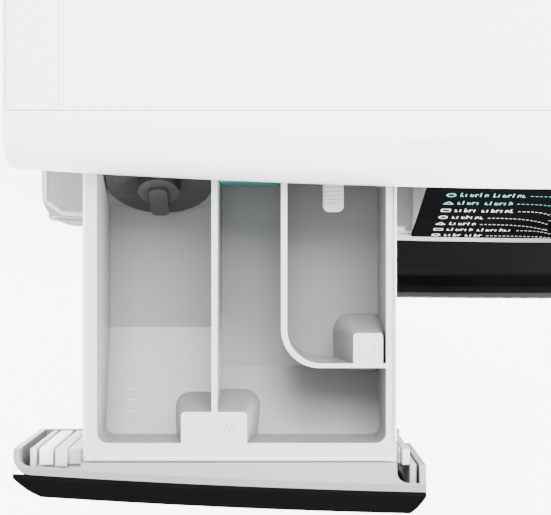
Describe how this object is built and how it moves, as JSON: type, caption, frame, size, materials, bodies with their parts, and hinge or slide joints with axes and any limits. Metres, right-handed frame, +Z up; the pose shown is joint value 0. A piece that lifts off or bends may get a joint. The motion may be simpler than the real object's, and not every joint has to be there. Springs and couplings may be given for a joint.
{
  "type": "front load washing machine",
  "caption": "Front load washing machine with a bowed black glass fascia, an open detergent drawer, a round porthole door, a suspended tub with a belt-driven drum, and levelling feet",
  "frame": {"origin": "floor level, centred under the bounding box with the detergent drawer open", "axes": "+Z up, front faces -Y, +X is the right-hand side seen from the front"},
  "size_m": [0.6, 0.6892, 0.85],
  "materials": {
    "white_steel": "satin",
    "white_plastic": "gloss",
    "worktop_white": "satin",
    "black_glass": "gloss",
    "tray_grey": "satin",
    "dark_grey_plastic": "satin",
    "dial_grey": "satin",
    "teal_plastic": "satin",
    "bezel_metal": "metallic",
    "clear_glass": "clear",
    "tinted_window": "tinted",
    "galvanised_steel": "satin",
    "stainless_steel": "brushed",
    "cast_aluminium": "cast",
    "black_rubber": "matt",
    "grey_rubber": "matt",
    "tub_plastic": "matt",
    "concrete": "rough",
    "motor_iron": "satin",
    "brass_nickel": "gloss",
    "board_green": "satin"
  },
  "bodies": {
    "cabinet": {"side_panel_left": "white_steel", "side_panel_right": "white_steel", "back_panel": "galvanised_steel", "front_panel": "white_steel", "base_frame": "galvanised_steel", "foot_lock_nuts": "galvanised_steel", "top_rails": "galvanised_steel", "worktop_frame": "white_plastic", "worktop_board": "worktop_white", "fascia_housing": "white_plastic", "fascia_glass": "black_glass", "control_module": "board_green", "dispenser_housing": "tray_grey", "door_hinge_bracket": "galvanised_steel", "door_lock": "dark_grey_plastic", "inlet_valve": "tub_plastic", "drain_pump": "dark_grey_plastic", "damper_cylinders": "galvanised_steel", "tub_springs": "galvanised_steel", "sump_hose": "black_rubber", "dispenser_hose": "black_rubber", "cabinet_screws": "galvanised_steel", "mains_gland": "dark_grey_plastic"},
    "drawer": {"drawer_tray": "tray_grey", "drawer_front": "white_plastic", "drawer_glass": "black_glass", "softener_siphon": "teal_plastic"},
    "dial": {"detergent_dial": "dial_grey"},
    "tray_release": {"release_tab": "tray_grey"},
    "door": {"door_outer_ring": "dark_grey_plastic", "door_bezel": "bezel_metal", "door_cover": "tinted_window", "door_bowl": "clear_glass", "door_inner_ring": "dark_grey_plastic", "door_hinge_leaf": "cast_aluminium"},
    "door_lever": {"door_handle": "dark_grey_plastic"},
    "latch_hook": {"door_hook": "cast_aluminium"},
    "knob": {"programme_knob": "bezel_metal"},
    "power_key": {"power_button": "bezel_metal"},
    "start_key": {"start_button": "bezel_metal"},
    "tub": {"tub_front": "tub_plastic", "tub_rear": "tub_plastic", "tub_bearings": "stainless_steel", "heater": "stainless_steel", "counterweight": "concrete", "motor_body": "motor_iron", "damper_rods": "galvanised_steel", "door_gasket": "grey_rubber", "drive_belt": "black_rubber"},
    "drum": {"drum_shell": "stainless_steel", "drum_lifters": "tub_plastic", "drum_spider": "cast_aluminium", "drum_pulley": "cast_aluminium"},
    "motor_rotor": {"motor_pulley": "motor_iron"},
    "service_flap": {"filter_flap": "white_plastic"},
    "pump_filter": {"filter_cap": "dark_grey_plastic"},
    "front_left_foot": {"foot_front_left": "black_rubber"},
    "front_right_foot": {"foot_front_right": "black_rubber"},
    "rear_left_foot": {"foot_rear_left": "black_rubber"},
    "rear_right_foot": {"foot_rear_right": "black_rubber"}
  },
  "joints": [
    {"name": "drawer_slide", "type": "slide", "parent": "cabinet", "child": "drawer", "axis": [0, 1, 0], "range_m": [0, 0.148]},
    {"name": "dial_turn", "type": "hinge", "parent": "drawer", "child": "dial", "pos_m": [-0.23345, -0.16741, 0.791], "axis": [0, -0.8387, 0.5446], "range_deg": [-40, 40]},
    {"name": "release_press", "type": "hinge", "parent": "drawer", "child": "tray_release", "pos_m": [-0.1475, -0.13041, 0.8105], "axis": [1, 0, 0], "range_deg": [0, 6], "stiffness_Nm_per_rad": 0.2, "springref_deg": -2.86},
    {"name": "door_swing", "type": "hinge", "parent": "cabinet", "child": "door", "pos_m": [-0.232, -0.21441, 0.4], "axis": [0, 0, -1], "range_deg": [0, 150]},
    {"name": "handle_pull", "type": "hinge", "parent": "door", "child": "door_lever", "pos_m": [0.217, -0.21041, 0.4], "axis": [0, 0, -1], "range_deg": [0, 12], "stiffness_Nm_per_rad": 0.6, "springref_deg": -4.58},
    {"name": "hook_release", "type": "hinge", "parent": "door", "child": "latch_hook", "pos_m": [0.204, -0.20341, 0.4], "axis": [0, 0, 1], "range_deg": [0, 5]},
    {"name": "programme_turn", "type": "hinge", "parent": "cabinet", "child": "knob", "pos_m": [-0.008, -0.19203, 0.771], "axis": [0, -0.9618, 0.2739], "continuous": true},
    {"name": "power_press", "type": "slide", "parent": "cabinet", "child": "power_key", "axis": [0, 0.956, -0.2934], "range_m": [0, 0.0015], "stiffness_N_per_m": 400, "springref_m": -0.0008},
    {"name": "start_press", "type": "slide", "parent": "cabinet", "child": "start_key", "axis": [0, 0.956, -0.2934], "range_m": [0, 0.0015], "stiffness_N_per_m": 400, "springref_m": -0.0008},
    {"name": "tub_bounce", "type": "slide", "parent": "cabinet", "child": "tub", "axis": [0, 0, 1], "range_m": [-0.01, 0.01], "stiffness_N_per_m": 16000, "springref_m": 0.0164, "deforming": ["tub_springs", "sump_hose", "dispenser_hose", "door_gasket"]},
    {"name": "drum_spin", "type": "hinge", "parent": "tub", "child": "drum", "pos_m": [0, 0, 0.4], "axis": [0, 1, 0], "continuous": true},
    {"name": "motor_spin", "type": "hinge", "parent": "tub", "child": "motor_rotor", "pos_m": [0.14, 0.26959, 0.1], "axis": [0, 1, 0], "continuous": true},
    {"name": "flap_swing", "type": "hinge", "parent": "cabinet", "child": "service_flap", "pos_m": [0.143, -0.18481, 0.078], "axis": [0, 0, -1], "range_deg": [0, 90]},
    {"name": "filter_turn", "type": "hinge", "parent": "cabinet", "child": "pump_filter", "pos_m": [0.2, -0.17841, 0.078], "axis": [0, 1, 0], "range_deg": [0, 90]},
    {"name": "front_left_foot_screw", "type": "slide", "parent": "cabinet", "child": "front_left_foot", "axis": [0, 0, 1], "range_m": [-0.012, 0]},
    {"name": "front_right_foot_screw", "type": "slide", "parent": "cabinet", "child": "front_right_foot", "axis": [0, 0, 1], "range_m": [-0.012, 0]},
    {"name": "rear_left_foot_screw", "type": "slide", "parent": "cabinet", "child": "rear_left_foot", "axis": [0, 0, 1], "range_m": [-0.012, 0]},
    {"name": "rear_right_foot_screw", "type": "slide", "parent": "cabinet", "child": "rear_right_foot", "axis": [0, 0, 1], "range_m": [-0.012, 0]}
  ],
  "couplings": [
    {"joint": "hook_release", "follows": "handle_pull", "ratio": 0.4},
    {"joint": "motor_spin", "follows": "drum_spin", "ratio": 12.727}
  ]
}
